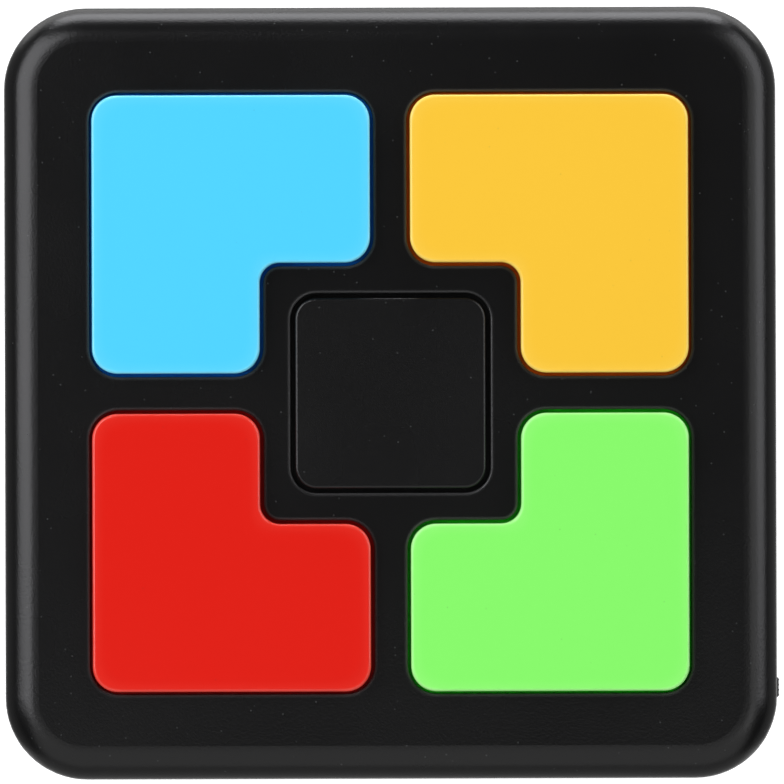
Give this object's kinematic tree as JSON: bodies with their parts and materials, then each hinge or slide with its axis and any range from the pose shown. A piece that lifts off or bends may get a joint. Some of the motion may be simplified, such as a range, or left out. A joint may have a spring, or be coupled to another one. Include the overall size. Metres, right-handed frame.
{
  "type": "electronic memory light game",
  "caption": "Palm-sized square electronic memory game: L-shaped coloured press-buttons round a square centre button in a black two-shell case, side power switch, battery door.",
  "frame": {"origin": "middle of the back face, which is the face the game lies on", "axes": "+Z out through the buttons, +Y towards the blue and yellow buttons, +X towards the side with the power switch"},
  "size_m": [0.096, 0.095, 0.0316],
  "materials": {
    "case_black": "fine satin moulded ABS, black",
    "button_blue": "glossy sky-blue plastic",
    "button_yellow": "glossy amber-yellow plastic",
    "button_red": "glossy red plastic",
    "button_green": "glossy light-green plastic",
    "centre_black": "satin black plastic",
    "knob_black": "satin black plastic",
    "pad_rubber": "translucent grey silicone rubber",
    "led_lens": "clear epoxy",
    "board_green": "green solder mask on glass-fibre board",
    "chip_black": "black epoxy cap",
    "component_beige": "lacquered resistor body",
    "capacitor_sleeve": "shrink sleeve, dark blue",
    "switch_steel": "tin-plated steel can",
    "contact_steel": "nickel-plated spring steel",
    "cell_jacket": "printed-free dark jacket over a steel can",
    "screw_steel": "zinc-plated steel",
    "speaker_steel": "pressed steel frame",
    "speaker_paper": "black treated paper cone",
    "magnet_ferrite": "ferrite magnet",
    "lead_red": "red PVC insulation",
    "lead_black": "black PVC insulation"
  },
  "bodies": {
    "root": {"front_case": "case_black", "rear_case": "case_black", "pad_blue": "pad_rubber", "pad_yellow": "pad_rubber", "pad_red": "pad_rubber", "pad_green": "pad_rubber", "pad_centre": "pad_rubber", "led_blue": "led_lens", "led_yellow": "led_lens", "led_red": "led_lens", "led_green": "led_lens", "circuit_board": "board_green", "controller_chip": "chip_black", "resistors": "component_beige", "capacitor": "capacitor_sleeve", "switch_housing": "switch_steel", "positive_terminal": "contact_steel", "negative_terminal": "contact_steel", "bridge_left": "contact_steel", "bridge_right": "contact_steel", "contact_leaves": "contact_steel", "cell_1": "cell_jacket", "cell_2": "cell_jacket", "cell_3": "cell_jacket", "case_screws": "screw_steel", "board_screws": "screw_steel", "speaker_frame": "speaker_steel", "speaker_cone": "speaker_paper", "speaker_magnet": "magnet_ferrite", "speaker_lead_red": "lead_red", "speaker_lead_black": "lead_black", "battery_lead_red": "lead_red", "battery_lead_black": "lead_black"},
    "yellow_body": {"button_yellow": "button_yellow"},
    "blue_body": {"button_blue": "button_blue"},
    "red_body": {"button_red": "button_red"},
    "green_body": {"button_green": "button_green"},
    "centre_body": {"centre_button": "centre_black"},
    "switch_body": {"power_switch_knob": "knob_black"},
    "door_body": {"battery_door": "case_black", "door_screws": "screw_steel"}
  },
  "joints": [
    {"name": "yellow_press", "type": "slide", "parent": "root", "child": "yellow_body", "axis": [0, 0, -1], "range_m": [0, 0.0012], "stiffness_N_per_m": 400, "springref_m": -0.0005, "deforming": ["pad_yellow"]},
    {"name": "blue_press", "type": "slide", "parent": "root", "child": "blue_body", "axis": [0, 0, -1], "range_m": [0, 0.0012], "stiffness_N_per_m": 400, "springref_m": -0.0005, "deforming": ["pad_blue"]},
    {"name": "red_press", "type": "slide", "parent": "root", "child": "red_body", "axis": [0, 0, -1], "range_m": [0, 0.0012], "stiffness_N_per_m": 400, "springref_m": -0.0005, "deforming": ["pad_red"]},
    {"name": "green_press", "type": "slide", "parent": "root", "child": "green_body", "axis": [0, 0, -1], "range_m": [0, 0.0012], "stiffness_N_per_m": 400, "springref_m": -0.0005, "deforming": ["pad_green"]},
    {"name": "centre_press", "type": "slide", "parent": "root", "child": "centre_body", "axis": [0, 0, -1], "range_m": [0, 0.001], "stiffness_N_per_m": 400, "springref_m": -0.0005, "deforming": ["pad_centre"]},
    {"name": "power_switch", "type": "slide", "parent": "root", "child": "switch_body", "axis": [0, 1, 0], "range_m": [0, 0.002]},
    {"name": "battery_door_lift", "type": "slide", "parent": "root", "child": "door_body", "axis": [0, 0, -1], "range_m": [0, 0.012]}
  ]
}
